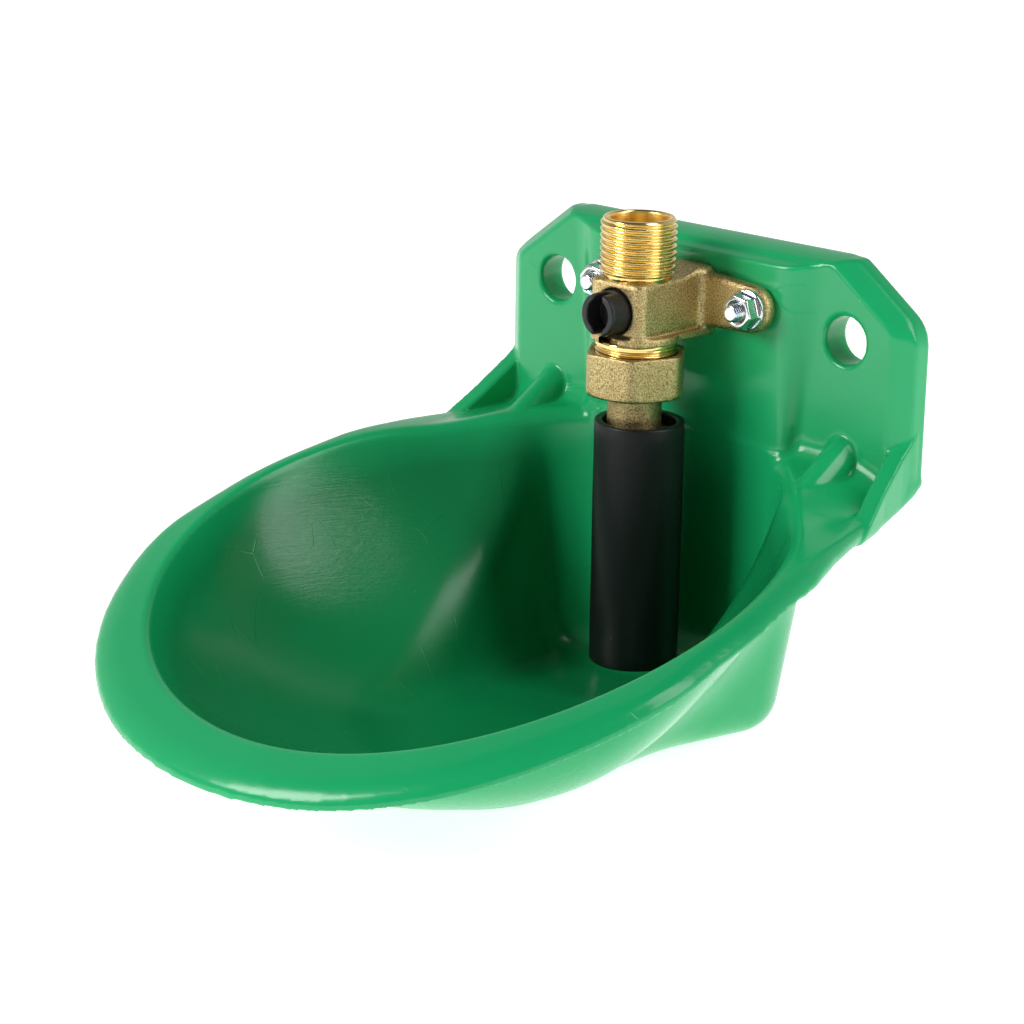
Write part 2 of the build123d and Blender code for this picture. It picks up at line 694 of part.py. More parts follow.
with BuildPart() as clamp_nuts:
    # round flange, then the hexagon
    with BuildSketch(facing(NUT_BACK)):
        with Locations(*EARS):
            Circle(6.8)
    extrude(amount=1.3)
    with BuildSketch(facing(NUT_BACK - 1.0)):
        with Locations(*EARS):
            RegularPolygon(HEX_INNER_R, 6, major_radius=False)
    extrude(amount=4.9)
    # bevelled crown of the hexagon
    for side in (1, -1):
        with BuildSketch(Plane.YZ.offset(side * EAR_X)):
            Polygon((EAR_FRONT - 6.1, EAR_Z + 4.7), (EAR_FRONT - 6.1, EAR_Z + 6.6),
                    (EAR_FRONT - 4.7, EAR_Z + 6.6), align=None)
        revolve(axis=Axis((side * EAR_X, 0, EAR_Z), (0, 1, 0)), mode=Mode.SUBTRACT)
    with BuildSketch(facing(EAR_FRONT + 1)):
        with Locations(*EARS):
            Circle(3.02)
    extrude(amount=9, mode=Mode.SUBTRACT)
save(clamp_nuts, "clamp_nuts")
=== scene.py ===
"""A green drinking bowl with its brass float-free valve parts, nuts, bolts and suction tube.

The back plate stands at y = 0 and the bowl reaches forward to about y = -198. X runs across
(the bowl is symmetric about x = 0) and Z is up. Meshes are worked out in millimetres and
scaled by MM; shaders, lights and camera are in metres.
"""
import bpy
import math
import numpy as np
from mathutils import Matrix, Vector


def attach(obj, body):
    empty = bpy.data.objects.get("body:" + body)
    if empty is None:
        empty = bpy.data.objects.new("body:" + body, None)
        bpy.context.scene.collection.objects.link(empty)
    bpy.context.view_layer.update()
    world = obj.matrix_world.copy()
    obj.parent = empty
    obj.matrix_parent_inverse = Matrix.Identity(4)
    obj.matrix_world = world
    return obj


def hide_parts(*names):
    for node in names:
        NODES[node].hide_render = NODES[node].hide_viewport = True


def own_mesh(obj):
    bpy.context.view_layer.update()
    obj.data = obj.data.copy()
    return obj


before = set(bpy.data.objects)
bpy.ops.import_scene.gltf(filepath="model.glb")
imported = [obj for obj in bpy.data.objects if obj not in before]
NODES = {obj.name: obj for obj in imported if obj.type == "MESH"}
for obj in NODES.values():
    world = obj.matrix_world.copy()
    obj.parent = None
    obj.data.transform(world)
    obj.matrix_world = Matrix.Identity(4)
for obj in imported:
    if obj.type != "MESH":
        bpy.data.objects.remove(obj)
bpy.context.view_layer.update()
MM = 0.001
F32 = np.float32

# Shared places, mm
AXIS_Y = -34.4                      # upright axis of inlet, nut and spigot
BOLT_X, BOLT_Z = 26.25, 5.6         # the two bolts run along Y at +-BOLT_X
BOLT_HOLE_RADIUS = 3.3
PLUG_Z = 4.5                        # axis of the regulator plug, along Y
DISH_Y = -98.0                      # centre of the round dish
SUMP_Y = -94.0                      # centre of the sump's round front
# The rim height is a parabola in y
RIM_Y, RIM_Z, RIM_SLOPE, RIM_CURVE = -110.0, -53.1, 0.2835, 0.001023


# ---------------------------------------------------------------- meshing
CORNERS = [(i, j, k) for i in (0, 1) for j in (0, 1) for k in (0, 1)]


def new_mesh(name, points, quads, normals=None, tris=()):
    """Smooth-shaded object from points in mm."""
    mesh = bpy.data.meshes.new(name)
    coordinates = (np.asarray(points, np.float64) * MM).astype(F32)
    quads = np.asarray(quads, np.int32).reshape(-1, 4)
    tris = np.asarray(tris, np.int32).reshape(-1, 3)
    face_count = len(quads) + len(tris)
    mesh.vertices.add(len(coordinates))
    mesh.vertices.foreach_set("co", coordinates.ravel())
    mesh.loops.add(len(quads) * 4 + len(tris) * 3)
    mesh.loops.foreach_set("vertex_index", np.concatenate([quads.ravel(), tris.ravel()]))
    mesh.polygons.add(face_count)
    starts = [np.arange(len(quads)) * 4, len(quads) * 4 + np.arange(len(tris)) * 3]
    mesh.polygons.foreach_set("loop_start", np.concatenate(starts).astype(np.int32))
    mesh.polygons.foreach_set("use_smooth", np.ones(face_count, bool))
    mesh.update(calc_edges=True)
    mesh.validate()
    if normals is not None:
        mesh.normals_split_custom_set_from_vertices(np.asarray(normals, float).tolist())
    ob = bpy.data.objects.new(name, mesh)
    bpy.context.scene.collection.objects.link(ob)
    return ob


def grid(low, high, cell):
    """Sample coordinates of a box, shaped to broadcast against each other."""
    x, y, z = (np.arange(low[i], high[i] + cell * 0.5, cell, dtype=F32) for i in range(3))
    return x.reshape(-1, 1, 1), y.reshape(1, -1, 1), z.reshape(1, 1, -1)


def axis_grid(half, y_low, y_high, axis_z, cell):
    """Grid round an axis along Y at height axis_z; z comes back measured from the axis."""
    low = (-half, y_low, axis_z - half)
    x, y, z = grid(low, (half, y_high, axis_z + half), cell)
    return low, x, y, z - axis_z


def trilinear(field, points):
    """Field values between samples; points are in cells."""
    base = np.clip(np.floor(points).astype(np.int64), 0, np.array(field.shape) - 2)
    part = points - base
    weight = (1 - part, part)
    total = 0
    for i, j, k in CORNERS:
        corner = field[base[:, 0] + i, base[:, 1] + j, base[:, 2] + k]
        total = total + weight[i][:, 0] * weight[j][:, 1] * weight[k][:, 2] * corner
    return total


def surface(field, low, cell):
    """Points, quads and normals of the zero level of a field that is negative inside."""
    field = np.ascontiguousarray(field, F32)
    inside = field < 0
    flags = inside.astype(np.uint8)
    nx, ny, nz = np.array(field.shape) - 1
    count = sum(flags[i:nx + i, j:ny + j, k:nz + k] for i, j, k in CORNERS)
    mixed = (count > 0) & (count < 8)
    cells = np.array(np.nonzero(mixed)).T
    index = np.full(mixed.shape, -1, np.int32)
    index[mixed] = np.arange(len(cells), dtype=np.int32)

    # One point per mixed cell: the mean of its edge crossings
    value = {c: field[cells[:, 0] + c[0], cells[:, 1] + c[1], cells[:, 2] + c[2]]
             for c in CORNERS}
    total = np.zeros((len(cells), 3))
    crossings = np.zeros(len(cells))
    for corner in CORNERS:
        for axis in range(3):
            if corner[axis]:
                continue
            other = list(corner)
            other[axis] = 1
            here, there = value[corner], value[tuple(other)]
            crossed = (here < 0) != (there < 0)
            along = np.where(crossed, here / np.where(crossed, here - there, 1), 0)
            for j in range(3):
                place = corner[j] + (along if j == axis else 0)
                total[:, j] += np.where(crossed, place, 0)
            crossings += crossed
    start = cells + total / crossings[:, None]

    probe = 0.35

    def gradient(points):
        slope = np.empty_like(points)
        for j in range(3):
            offset = np.zeros(3)
            offset[j] = probe
            rise = trilinear(field, points + offset) - trilinear(field, points - offset)
            slope[:, j] = rise / (2 * probe)
        return slope

    # Two Newton steps towards the surface, never far from the first place
    points = start.copy()
    for _ in range(2):
        slope = gradient(points)
        steepness = np.maximum((slope * slope).sum(1), (0.3 * cell) ** 2)
        step = -(trilinear(field, points) / steepness)[:, None] * slope
        points = points + np.clip(step, -0.5, 0.5)
        points = start + np.clip(points - start, -0.8, 0.8)

    # One quad round each grid edge that crosses the surface
    quads = []
    for axis in range(3):
        first = [slice(1, -1)] * 3
        second = [slice(1, -1)] * 3
        first[axis] = slice(0, -1)
        second[axis] = slice(1, None)
        edges = np.array(np.nonzero(inside[tuple(first)] != inside[tuple(second)])).T
        offset = np.ones(3, int)
        offset[axis] = 0
        edges = edges + offset
        back_one, back_two = np.zeros(3, int), np.zeros(3, int)
        back_one[(axis + 1) % 3] = 1
        back_two[(axis + 2) % 3] = 1
        around = (edges - back_one - back_two, edges - back_two, edges, edges - back_one)
        ring = np.stack([index[c[:, 0], c[:, 1], c[:, 2]] for c in around], 1)
        outward = inside[edges[:, 0], edges[:, 1], edges[:, 2]]
        ring[~outward] = ring[~outward][:, ::-1]
        quads.append(ring)
    quads = np.concatenate(quads)
    quads = quads[(quads >= 0).all(1)]
    normals = gradient(points)
    normals /= np.maximum(np.linalg.norm(normals, axis=1), 1e-9)[:, None]
    return points * cell + np.array(low), quads, normals


def field_object(name, field, low, cell):
    return new_mesh(name, *surface(field, low, cell))


def mirrored_object(name, half, low, cell):
    """Object from the x >= 0 half of a symmetric field."""
    field = np.concatenate([half[:0:-1], half], 0)
    steps = (field.shape[0] - 1) // 2
    return field_object(name, field, (-steps * cell, low[1], low[2]), cell)


def bolt_pair(name, field, low, cell):
    """One object holding the same shape on both bolt axes."""
    points, quads, normals = surface(field, low, cell)
    both = [points + np.array([side * BOLT_X, 0, 0]) for side in (1, -1)]
    quads = np.concatenate([quads, quads + len(points)])
    return new_mesh(name, np.concatenate(both), quads, np.concatenate([normals, normals]))


def lathe(name, segments, rows, centre):
    """Closed ring body; each row is (radius or radii, height or heights) round the Z axis."""
    angle = np.linspace(0, 2 * np.pi, segments, endpoint=False)
    points = [np.stack([radius * np.cos(angle), radius * np.sin(angle), z * np.ones(segments)], 1)
              for radius, z in rows]
    i = np.arange(segments)
    j = (i + 1) % segments
    quads = []
    for k in range(len(rows)):
        here, there = k * segments, ((k + 1) % len(rows)) * segments
        quads.append(np.stack([here + i, here + j, there + j, there + i], 1))
    return new_mesh(name, np.concatenate(points) + np.array(centre), np.concatenate(quads))


# ---------------------------------------------------------------- field shapes
# A field is a signed distance in mm, negative inside. The last argument of join, meet and
# carve is the width over which the two surfaces blend.
def join(a, b, width):
    """Smooth union."""
    overlap = np.maximum(width - np.abs(a - b), 0) / width
    return np.minimum(a, b) - overlap * overlap * width * 0.25


def meet(a, b, width):
    """Smooth intersection."""
    overlap = np.maximum(width - np.abs(a - b), 0) / width
    return np.maximum(a, b) + overlap * overlap * width * 0.25


def carve(solid, tool, width):
    return meet(solid, -tool, width)


def distance(a, b):
    return np.sqrt(a * a + b * b)


def slab(coordinate, low, high):
    return np.maximum(low - coordinate, coordinate - high)


def smoothstep(value):
    value = np.clip(value, 0, 1)
    return value * value * (3 - 2 * value)


def half_hull(a, b, circles, steps=72):
    """Hull of circles (a, b, radius), taken over the directions that face +a."""
    hull = -math.inf
    for k in range(steps + 1):
        angle = -math.pi / 2 + math.pi * k / steps
        da, db = math.cos(angle), math.sin(angle)
        reach = max(ca * da + cb * db + radius for ca, cb, radius in circles)
        hull = np.maximum(hull, a * da + b * db - reach)
    return hull


def hexagon(a, b, apothem, turn, width):
    """Hexagon turned by an angle in degrees."""
    shape = -math.inf
    for i in range(3):
        angle = math.radians(turn + 60 * i)
        side = np.abs(a * math.cos(angle) + b * math.sin(angle)) - apothem
        shape = meet(shape, side, width)
    return shape


def thread_wave(turns):
    """Thread profile, 0 at the crest and 1 at the root, with a period of one turn."""
    wave = 0.5 - 0.5 * np.cos(2 * np.pi * turns)
    return np.clip(wave * 1.2 - 0.1, 0, 1)


# ---------------------------------------------------------------- bowl
# Front arc of the rim: degrees from straight ahead, and radius about (0, RIM_ARC_Y)
RIM_ARC_Y = -100
RIM_ANGLES = [0, 12, 25, 42, 52, 64, 73, 88, 98, 107, 115]
RIM_RADII = [97.6, 98.0, 99.2, 100.3, 100.2, 99.4, 98.4, 97.2, 96.9, 97.2, 97.9]
# Rest of the rim outline back to the plate: x, y
RIM_SIDE = [(84.8, -50), (81.6, -40), (78.7, -30), (76.0, -20), (74.1, -10), (73.3, -3)]
# Height of the lip under the rim, by y
LIP_Y = [-206, -90, -60, -40, -24, -10, -3, 0]
LIP_HEIGHTS = [6.6, 6.6, 6.8, 7.8, 8.8, 7.6, 5.0, 4.0]

PLATE_DEPTH = 10
PLATE_HOLE_X = 52.5
# Sides of the back plate, for x >= 0: normal x, normal z, reach at the back, reach at the
# front, reach of the hollow, depth where the bevel starts, blend of the side, blend of the bevel
PLATE_SIDES = [
    (0.0, 1.0, 21.4, 20.0, 18.4, 6.2, 0.8, 0.6),
    (0.595, 0.8037, 48.1, 44.3, 45.1, 4.6, 0.8, 0.6),
    (1.0, 0.0, 73.2, 67.8, 70.2, 6.2, 4.5, 1.2),
    (0.6877, -0.7259, 77.6, 72.4, 74.5, 6.2, 0.8, 0.6),
    (0.0, -1.0, 50.0, 46.0, 47.0, 6.2, 0.8, 0.6),
]


def rim_outline():
    """Plan outline on the +x side, from front to back."""
    outline = []
    for degrees in range(0, 116, 4):
        radius = float(np.interp(degrees, RIM_ANGLES, RIM_RADII))
        angle = math.radians(degrees)
        outline.append((radius * math.sin(angle), RIM_ARC_Y - radius * math.cos(angle)))
    return outline + RIM_SIDE


def outline_distance(x, y, outline):
    """Signed distance in plan to a closed outline that is symmetric about x = 0."""
    points = np.stack(np.broadcast_arrays(x, y), -1).reshape(-1, 2).astype(float)
    nearest = np.full(len(points), 1e9)
    inside = np.zeros(len(points), bool)
    full = outline + [(-a, b) for a, b in reversed(outline)]
    for k, corner in enumerate(full):
        a, b = np.array(corner), np.array(full[(k + 1) % len(full)])
        edge = b - a
        squared = edge @ edge
        if squared < 1e-12:          # the front point meets its own mirror image
            continue
        along = np.clip(((points - a) @ edge) / squared, 0, 1)
        nearest = np.minimum(nearest, np.hypot(*(points - a - along[:, None] * edge).T))
        spans = (a[1] > points[:, 1]) != (b[1] > points[:, 1])
        # an edge along x divides by zero, but spans no point
        with np.errstate(divide="ignore", invalid="ignore"):
            crossing = a[0] + (points[:, 1] - a[1]) / (b[1] - a[1]) * (b[0] - a[0])
        inside ^= spans & (points[:, 0] < crossing)
    signed = np.where(inside, -nearest, nearest)
    return signed.reshape(np.broadcast_shapes(x.shape, y.shape)).astype(F32)


def bowl_rim(y, z, plan, crest, droop, tilt):
    """The rim as a filled body, the rim as a lip open below, and the z of the lip's foot."""
    top = (z - (crest - droop)) * tilt
    lip_height = np.interp(y.ravel(), LIP_Y, LIP_HEIGHTS).reshape(y.shape)
    lip_z = crest - lip_height - 0.25 * droop
    crown = 0.7 * np.clip((plan + 14) / 14, 0, 1) ** 2
    # along the sides the outer face leans out from a clear edge; the front is fully rounded
    sides = smoothstep((y + 150) / 45)
    lean = 6.0 * sides * (1 - smoothstep((y + 80) / 50))
    face = 0.768 * (plan + lean) + 0.640 * (top + crown)
    filled = meet(meet(top + crown, face, 2.6), plan, 9.0 - 6.0 * sides)
    rim = meet(filled, (lip_z - z) * tilt, 5.0)
    underside = meet(plan + 3.3, top + 3.7, 4.0)
    return filled, carve(rim, underside, 1.2), lip_z


def dish(x, y, z, radius, floor, power):
    """Superellipse bowl hanging from a sloping plane; power sets how square it is."""
    plane = -47 + 0.30 * (y - DISH_Y)
    height = plane - floor
    down = np.maximum((plane - z) / height, 0)
    across = distance(x, y - DISH_Y) / radius
    level = (across ** power + down ** power) ** (1 / power) + 1e-6
    growth = np.sqrt(across ** (2 * power - 2) / radius ** 2 + down ** (2 * power - 2) / height ** 2)
    growth = growth / level ** (power - 1)
    return ((level - 1) / np.maximum(growth, 0.35 / radius)).astype(F32)


def sump(x, y, z, half_widths, backs, corners, fronts, floor, width):
    """Plan hull of two back corners and a front circle, tapering downwards.

    Each pair is (at z = -28, at the floor): half width, y of the back, corner radius and
    front radius. The width is that of the blend into the sloping floor.
    """
    fall = np.clip((z + 28) / (floor + 28), -0.2, 1.1)
    half_width, back, corner, front = (
        top + (foot - top) * fall for top, foot in (half_widths, backs, corners, fronts))
    corner_x, corner_y = half_width - corner, back - corner
    # unit direction from the corner circle to the front circle
    dx, dy = -corner_x, SUMP_Y - corner_y
    length = distance(dx, dy)
    dx, dy = dx / length, dy / length
    # normal and direction of the line that touches both circles
    sine = (corner - front) / length
    cosine = np.sqrt(1 - sine * sine)
    nx, ny = sine * dx - cosine * dy, sine * dy + cosine * dx
    tx, ty = ny, -nx
    px, py = x - corner_x, y - corner_y
    wall = np.maximum(y - back, px * nx + py * ny - corner)
    wall = np.where((px > 0) & (px * tx + py * ty < 0), distance(px, py) - corner, wall)
    ahead = y - SUMP_Y
    wall = np.where(x * tx + ahead * ty > 0, distance(x, ahead) - front, wall)
    sloping_floor = floor - (y + 14) * math.tan(math.radians(3.2))
    return meet((wall * 0.975).astype(F32), sloping_floor - z, width)


def back_plate(x, y, z):
    depth = -y
    outline = bevel = -math.inf
    for nx, nz, back, front, _, start, side_width, bevel_width in PLATE_SIDES:
        side = x * nx + z * nz - back
        run, inset = PLATE_DEPTH - start, back - front
        slope = (side * run + (depth - start) * inset) / math.sqrt(run ** 2 + inset * inset)
        outline = meet(outline, side, side_width)
        bevel = meet(bevel, slope, bevel_width)
    plate = meet(meet(outline, bevel, 0.9), depth - PLATE_DEPTH, 0.7)
    return meet(plate, y, 0.8)


def centre_pads(x, y, z):
    """The short pad on the plate's front, and the longer block that fills behind it."""
    depth = -y
    rise = 4.2
    base = 38.2 + (z + 34) * 0.1071
    front = 36.2 - (z + 34) * 0.025
    half_width = base + (front - base) * np.maximum(depth - PLATE_DEPTH, -1.0) / rise
    cheek = (x - half_width) / np.sqrt(1 + ((front - base) / rise) ** 2)
    top = ((z - 19.2) * rise + (depth - PLATE_DEPTH) * 1.2) / 4.37

    def block(reach, foot, width):
        shape = meet(meet(cheek, depth - reach, width), top, 0.6)
        return meet(meet(shape, z - 21.3, 0.4), foot - z, 2.0)

    return meet(block(14.2, -40, 1.6), y + 1, 0.8), block(20.0, -75, 1.4)


def round_rib(x, y, z):
    """Round bar that runs forward and down from the plate."""
    start_x, start_y, start_z = np.array([53.2, -5.4, -29.3])
    slope = math.radians(31)
    dy, dz = np.array([-math.cos(slope), -math.sin(slope)])
    px, py, pz = x - start_x, y - start_y, z - start_z
    along = np.clip(py * dy + pz * dz, 0, 26)
    return np.sqrt(px ** 2 + (py - along * dy) ** 2 + (pz - along * dz) ** 2) - 5.0


def detail_plate_back(field, x, y, z):
    """Hollow the back of the plate, then add bosses and uprights and open the holes."""
    depth = -y
    hollow = -math.inf
    for nx, nz, _, _, reach, *_ in PLATE_SIDES:
        hollow = meet(hollow, x * nx + z * nz - reach, 2.0)
    hollow = meet(hollow, depth - 6.4, 2.0)
    field = carve(field, hollow, 1.2)
    box = np.maximum(np.maximum(x - 33, np.abs(z - 2) - 15), depth - 10.5)
    field = carve(field, box, 1.2)
    from_hole = distance(x - PLATE_HOLE_X, z)
    field = join(field, meet(from_hole - 10.6, slab(y, -8, 0), 0.6), 2.0)
    upright = meet(np.abs(x - 22) - 1.5, np.maximum(slab(y, -12.6, 0), slab(z, -99, -46)), 0.6)
    field = join(field, upright, 2.0)
    field = carve(field, from_hole - 6.65, 1.3)
    return carve(field, distance(x - BOLT_X, z - BOLT_Z) - BOLT_HOLE_RADIUS, 0.6)


def make_bowl():
    cell = 0.85
    low = (0.0, -199.0, -117.0)
    x, y, z = grid(low, (99.5, 3.0, 25.0), cell)
    plan = outline_distance(x, y, rim_outline())
    along = y - RIM_Y
    crest = RIM_Z + RIM_SLOPE * along - RIM_CURVE * along * along
    slope = RIM_SLOPE - 2 * RIM_CURVE * along
    tilt = 1 / np.sqrt(1 + slope * slope)
    # the outer part of the rim droops near the plate
    droop = 4.8 * smoothstep((y + 66) / 50) * smoothstep((x - 54) / 18)
    filled, rim, lip_z = bowl_rim(y, z, plan, crest, droop, tilt)
    under_rim = (z - crest + 2.0 + droop) * tilt

    # outside of the dish and sump
    outer_dish = dish(x, y, z, 88.9, -110.2, 2.2 - 0.62 * smoothstep((y + 138) / 60))
    outer_sump = sump(x, y, z, half_widths=(60.6, 41.8), backs=(-10.6, -10.8),
                      corners=(22, 16), fronts=(60, 30), floor=-113.4, width=11.0)
    outer = meet(join(outer_dish, outer_sump, 22.0), under_rim, 1.0)

    # inside, with walls at least 3 thick
    inner_dish = dish(x, y, z, 85.3, -104.3, 2.0 - 0.36 * smoothstep((y + 130) / 60))
    inner_dish = meet(inner_dish, y + 14.2, 6.0)
    inner_sump = sump(x, y, z, half_widths=(46.5, 38.2), backs=(-14.2, -14.4),
                      corners=(20, 13), fronts=(56, 26.4), floor=-109.0, width=12.0)
    inner = join(inner_dish, inner_sump, 9.0)
    outer = np.minimum(outer, np.maximum(inner - 3.0, under_rim))
    inner = meet(inner, y + 14.3, 1.0)
    inner = meet(inner, z - (crest - droop) - 1.6, 1.0)

    plate = back_plate(x, y, z)
    pad, long_pad = centre_pads(x, y, z)
    rib = round_rib(x, y, z)
    # flat-topped gusset that follows the outer edge
    gusset_top = (y + 7.0) * -0.5806 + (z + 25.4) * 0.8142
    gusset = meet(np.abs(plan + 2.9) - 2.75, gusset_top, 0.8)
    gusset = meet(meet(gusset, (lip_z - z) * tilt, 3.0), slab(y, -52, -3), 1.0)

    # filled solid below the rim, then hollowed, so the inner edge rounds at full thickness
    full = join(join(join(filled, plate, 6.5), long_pad, 2.5), rib, 0.6)
    depth_share = smoothstep((-22 - z) / 14)
    edge = 1.2 + depth_share * (1.0 + 1.8 * smoothstep((y + 75) / 45))
    field = carve(full, inner, edge)
    # trimmed to the outside: lipped rim, dish, plate, pad and rib
    shell = join(join(rim, outer, 5.0), plate, 6.5)
    shell = join(join(shell, pad, 1.6), rib, 0.6)
    field = np.maximum(field, shell)
    field = join(field, carve(gusset, inner, 1.0), 0.9)
    field = detail_plate_back(field, x, y, z)
    return mirrored_object("bowl_moulding", field, low, cell)


# ---------------------------------------------------------------- brass pieces
def make_casting():
    cell = 0.3
    low = (0.0, -46.0, -6.0)
    x, y, z = grid(low, (35.0, -12.0, 15.5), cell)
    from_axis = distance(x, y - AXIS_Y)
    # block, rounded in plan, with soft horizontal edges and a top that rises to the back
    corner = 3.0
    qx, qy = x - 9.5 + corner, np.abs(y + 26.0) - 18.0 + corner
    plan = (distance(np.maximum(qx, 0), np.maximum(qy, 0))
            + np.minimum(np.maximum(qx, qy), 0) - corner)
    top = 12.9 + 1.6 * smoothstep((y + 27) / 9)
    block = meet(plan, slab(z, -4.6, top), 1.6)
    # bottom flange with a tongue running back
    flange = np.minimum(from_axis - 12.1, np.maximum(x - 10.9, AXIS_Y - y))
    flange = meet(flange, np.abs(z + 3.4) - 1.25, 0.9)
    ear = half_hull(x, z, [(26.0, 5.4, 6.7), (0.0, 5.6, 8.0)])
    ear = meet(ear, slab(y, -18.7, -14.2), 2.0)
    field = join(join(block, ear, 2.6), flange, 1.2)
    # groove between the block's side and the tongue
    groove = np.maximum(distance(x - 9.9, z + 1.75) - 0.55, slab(y, -39, -20))
    field = carve(field, groove, 0.7)
    field = meet(field, y + 14.2, 0.4)
    # upright bores: radius, bottom, top
    for radius, bottom, bore_top in ((3.0, -1, 20), (4.5, -4, 0.3), (8.6, -20, -3.2)):
        field = carve(field, np.maximum(from_axis - radius, slab(z, bottom, bore_top)), 0.3)
    # plug bore from the front, then the narrower bore to the upright axis
    from_plug = distance(x, z - PLUG_Z)
    field = carve(field, np.maximum(from_plug - 6.35, y + 39.4), 0.8)
    field = carve(field, np.maximum(from_plug - 3.7, y - AXIS_Y), 0.3)
    field = carve(field, distance(x - BOLT_X, z - 5.6) - BOLT_HOLE_RADIUS, 0.5)
    return mirrored_object("valve_casting", field, low, cell)


def make_inlet():
    segments = 160
    turns = np.linspace(0, 1, segments, endpoint=False)
    crest, thread_depth, pitch = 10.4775, 0.85, 1.814
    neck, bore = 9.3, 8.25
    bottom, top = 12.9, 29.5
    thread_start = bottom + 1.1
    rows = [(neck, 12.3), (neck, bottom + 0.9)]
    for z in np.arange(thread_start, top - 0.05, pitch / 14):
        radius = crest - thread_depth * thread_wave(z / pitch + turns)
        fade = min(1.0, (z - thread_start) / 0.6)
        radius = neck + (radius - neck) * fade
        radius = np.minimum(radius, crest - max(0.0, z - (top - 1.2)) * 0.75)
        rows.append((radius, z))
    rows += [(9.45, top - 0.04), (neck, top), (8.75, top),
             (8.6, top - 0.06), (8.3, top - 0.5), (bore, top - 0.7)]
    rows += [(bore, z) for z in (27.0, 22.0, 17.0, 13.7, 13.42)]
    rows += [(radius, 13.4) for radius in (7.6, 5.0, 3.1)]
    rows += [(3.0, 13.2), (3.0, 12.3)]
    return lathe("inlet_thread", segments, rows, (0, AXIS_Y, 0))


def make_spigot():
    segments = 160
    turns = np.linspace(0, 1, segments, endpoint=False)
    crest, thread_depth, pitch = 11.35, 0.6, 1.5
    tip, bore, bottom = 10.6, 8.6, -12.6
    rows = [(bore, bottom), (tip, bottom)]
    for z in np.arange(-12.3, -5.6, pitch / 12):
        radius = crest - thread_depth * thread_wave(z / pitch + turns)
        rows.append((np.minimum(radius, tip + (z - bottom)), z))
    rows += [(crest, -5.5), (crest, -4.9), (crest, -4.2), (bore, -4.2)]
    return lathe("spigot_thread", segments, rows, (0, AXIS_Y, 0))


def make_nut():
    cell = 0.25
    half = 16.0
    low = (-half, AXIS_Y - half, -21.0)
    x, y, z = grid(low, (half, AXIS_Y + half, -6.5), cell)
    radius = distance(x, y - AXIS_Y)
    field = hexagon(x, y - AXIS_Y, apothem=13.0, turn=36.7, width=2.2)
    field = meet(field, slab(z, -19.8, -7.5), 0.7)
    # rounded foot, then a light top chamfer
    field = meet(field, (radius - 13.9) * 0.6 - (z + 19.8) * 0.8, 1.2)
    field = meet(field, (radius - 14.6) * 0.5 + (z + 7.5) * 0.86, 0.8)
    # stepped bore: radius, bottom of the step
    bore = radius - 8.6
    for step_radius, bottom in ((12.1, -8.2), (11.36, -13.2), (10.9, -17.3)):
        bore = np.minimum(bore, np.maximum(radius - step_radius, bottom - z))
    return field_object("union_nut_forging", carve(field, bore, 0.5), low, cell)


# ---------------------------------------------------------------- plug, bolts, tube, spring
def make_plug():
    cell = 0.16
    low, x, y, z = axis_grid(6.8, -51.5, -36.5, PLUG_Z, cell)
    radius = distance(x, z)
    field = meet(radius - 6.0, slab(y, -50.7, -41.5), 1.0)
    # oval well in the front with slots up and down
    oval = distance(x, z / 1.12) - 3.7
    slot_side = np.abs(x) - 1.15 - 0.10 * np.maximum(np.abs(z) - 3.5, 0)
    well = join(oval, np.maximum(slot_side, np.abs(z) - 7), 1.2)
    field = carve(field, np.maximum(well, y + 45.2), 0.7)
    groove = np.maximum(-(radius - 5.0), np.abs(y + 42.75) - 0.6)
    field = carve(field, groove, 0.2)
    # rear stem and its tapered tip
    field = np.minimum(field, np.maximum(radius - 3.55, slab(y, -41.7, -38.1)))
    taper = radius - (3.0 - (y + 38.1) * 0.36)
    field = np.minimum(field, np.maximum(taper, slab(y, -38.2, -37.45)))
    return field_object("regulator_plug", field, low, cell)


def make_flange_nuts():
    cell = 0.16
    bore = 2.62
    low, x, y, z = axis_grid(7.6, -26.0, -18.0, BOLT_Z, cell)
    radius = distance(x, z)
    field = hexagon(x, z, apothem=4.35, turn=18, width=0.4)
    field = meet(field, slab(y, -24.1, -19.0), 0.4)
    field = meet(field, (radius - 4.5) * 0.5 - (y + 24.1) * 0.86, 0.5)
    cone = (radius - 5.4) * 0.35 - (y + 20.0) * 0.93
    flange = meet(radius - 5.8, np.maximum(slab(y, -20.0, -18.72), cone), 0.35)
    field = join(field, flange, 0.8)
    field = carve(field, radius - bore, 0.3)
    # countersink at the front
    field = meet(field, (bore + (-23.4 - y)) - radius, 0.2)
    return bolt_pair("flange_nuts", field, low, cell)


def make_bolts():
    cell = 0.16
    low, x, y, z = axis_grid(5.92, -27.2, -4.9, BOLT_Z, cell)
    radius = distance(x, z)
    turns = np.arctan2(z, x) / (2 * np.pi)
    threaded = smoothstep(-18.5 - y)
    shank = (radius - 2.52 + 0.34 * threaded * thread_wave(y / 0.8 + turns)) * 0.8
    shank = meet(shank, slab(y, -26.7, -8.9), 0.3)
    shank = meet(shank, (radius - 2.05 - (y + 26.7)) * 0.707, 0.3)
    head = hexagon(x, z, apothem=5.0, turn=30, width=0.5)
    head = meet(head, slab(y, -9.24, -5.28), 0.5)
    head = meet(head, (radius - 5.1) * 0.5 + (y + 5.28) * 0.86, 0.5)
    return bolt_pair("clamp_screws", np.minimum(head, shank), low, cell)


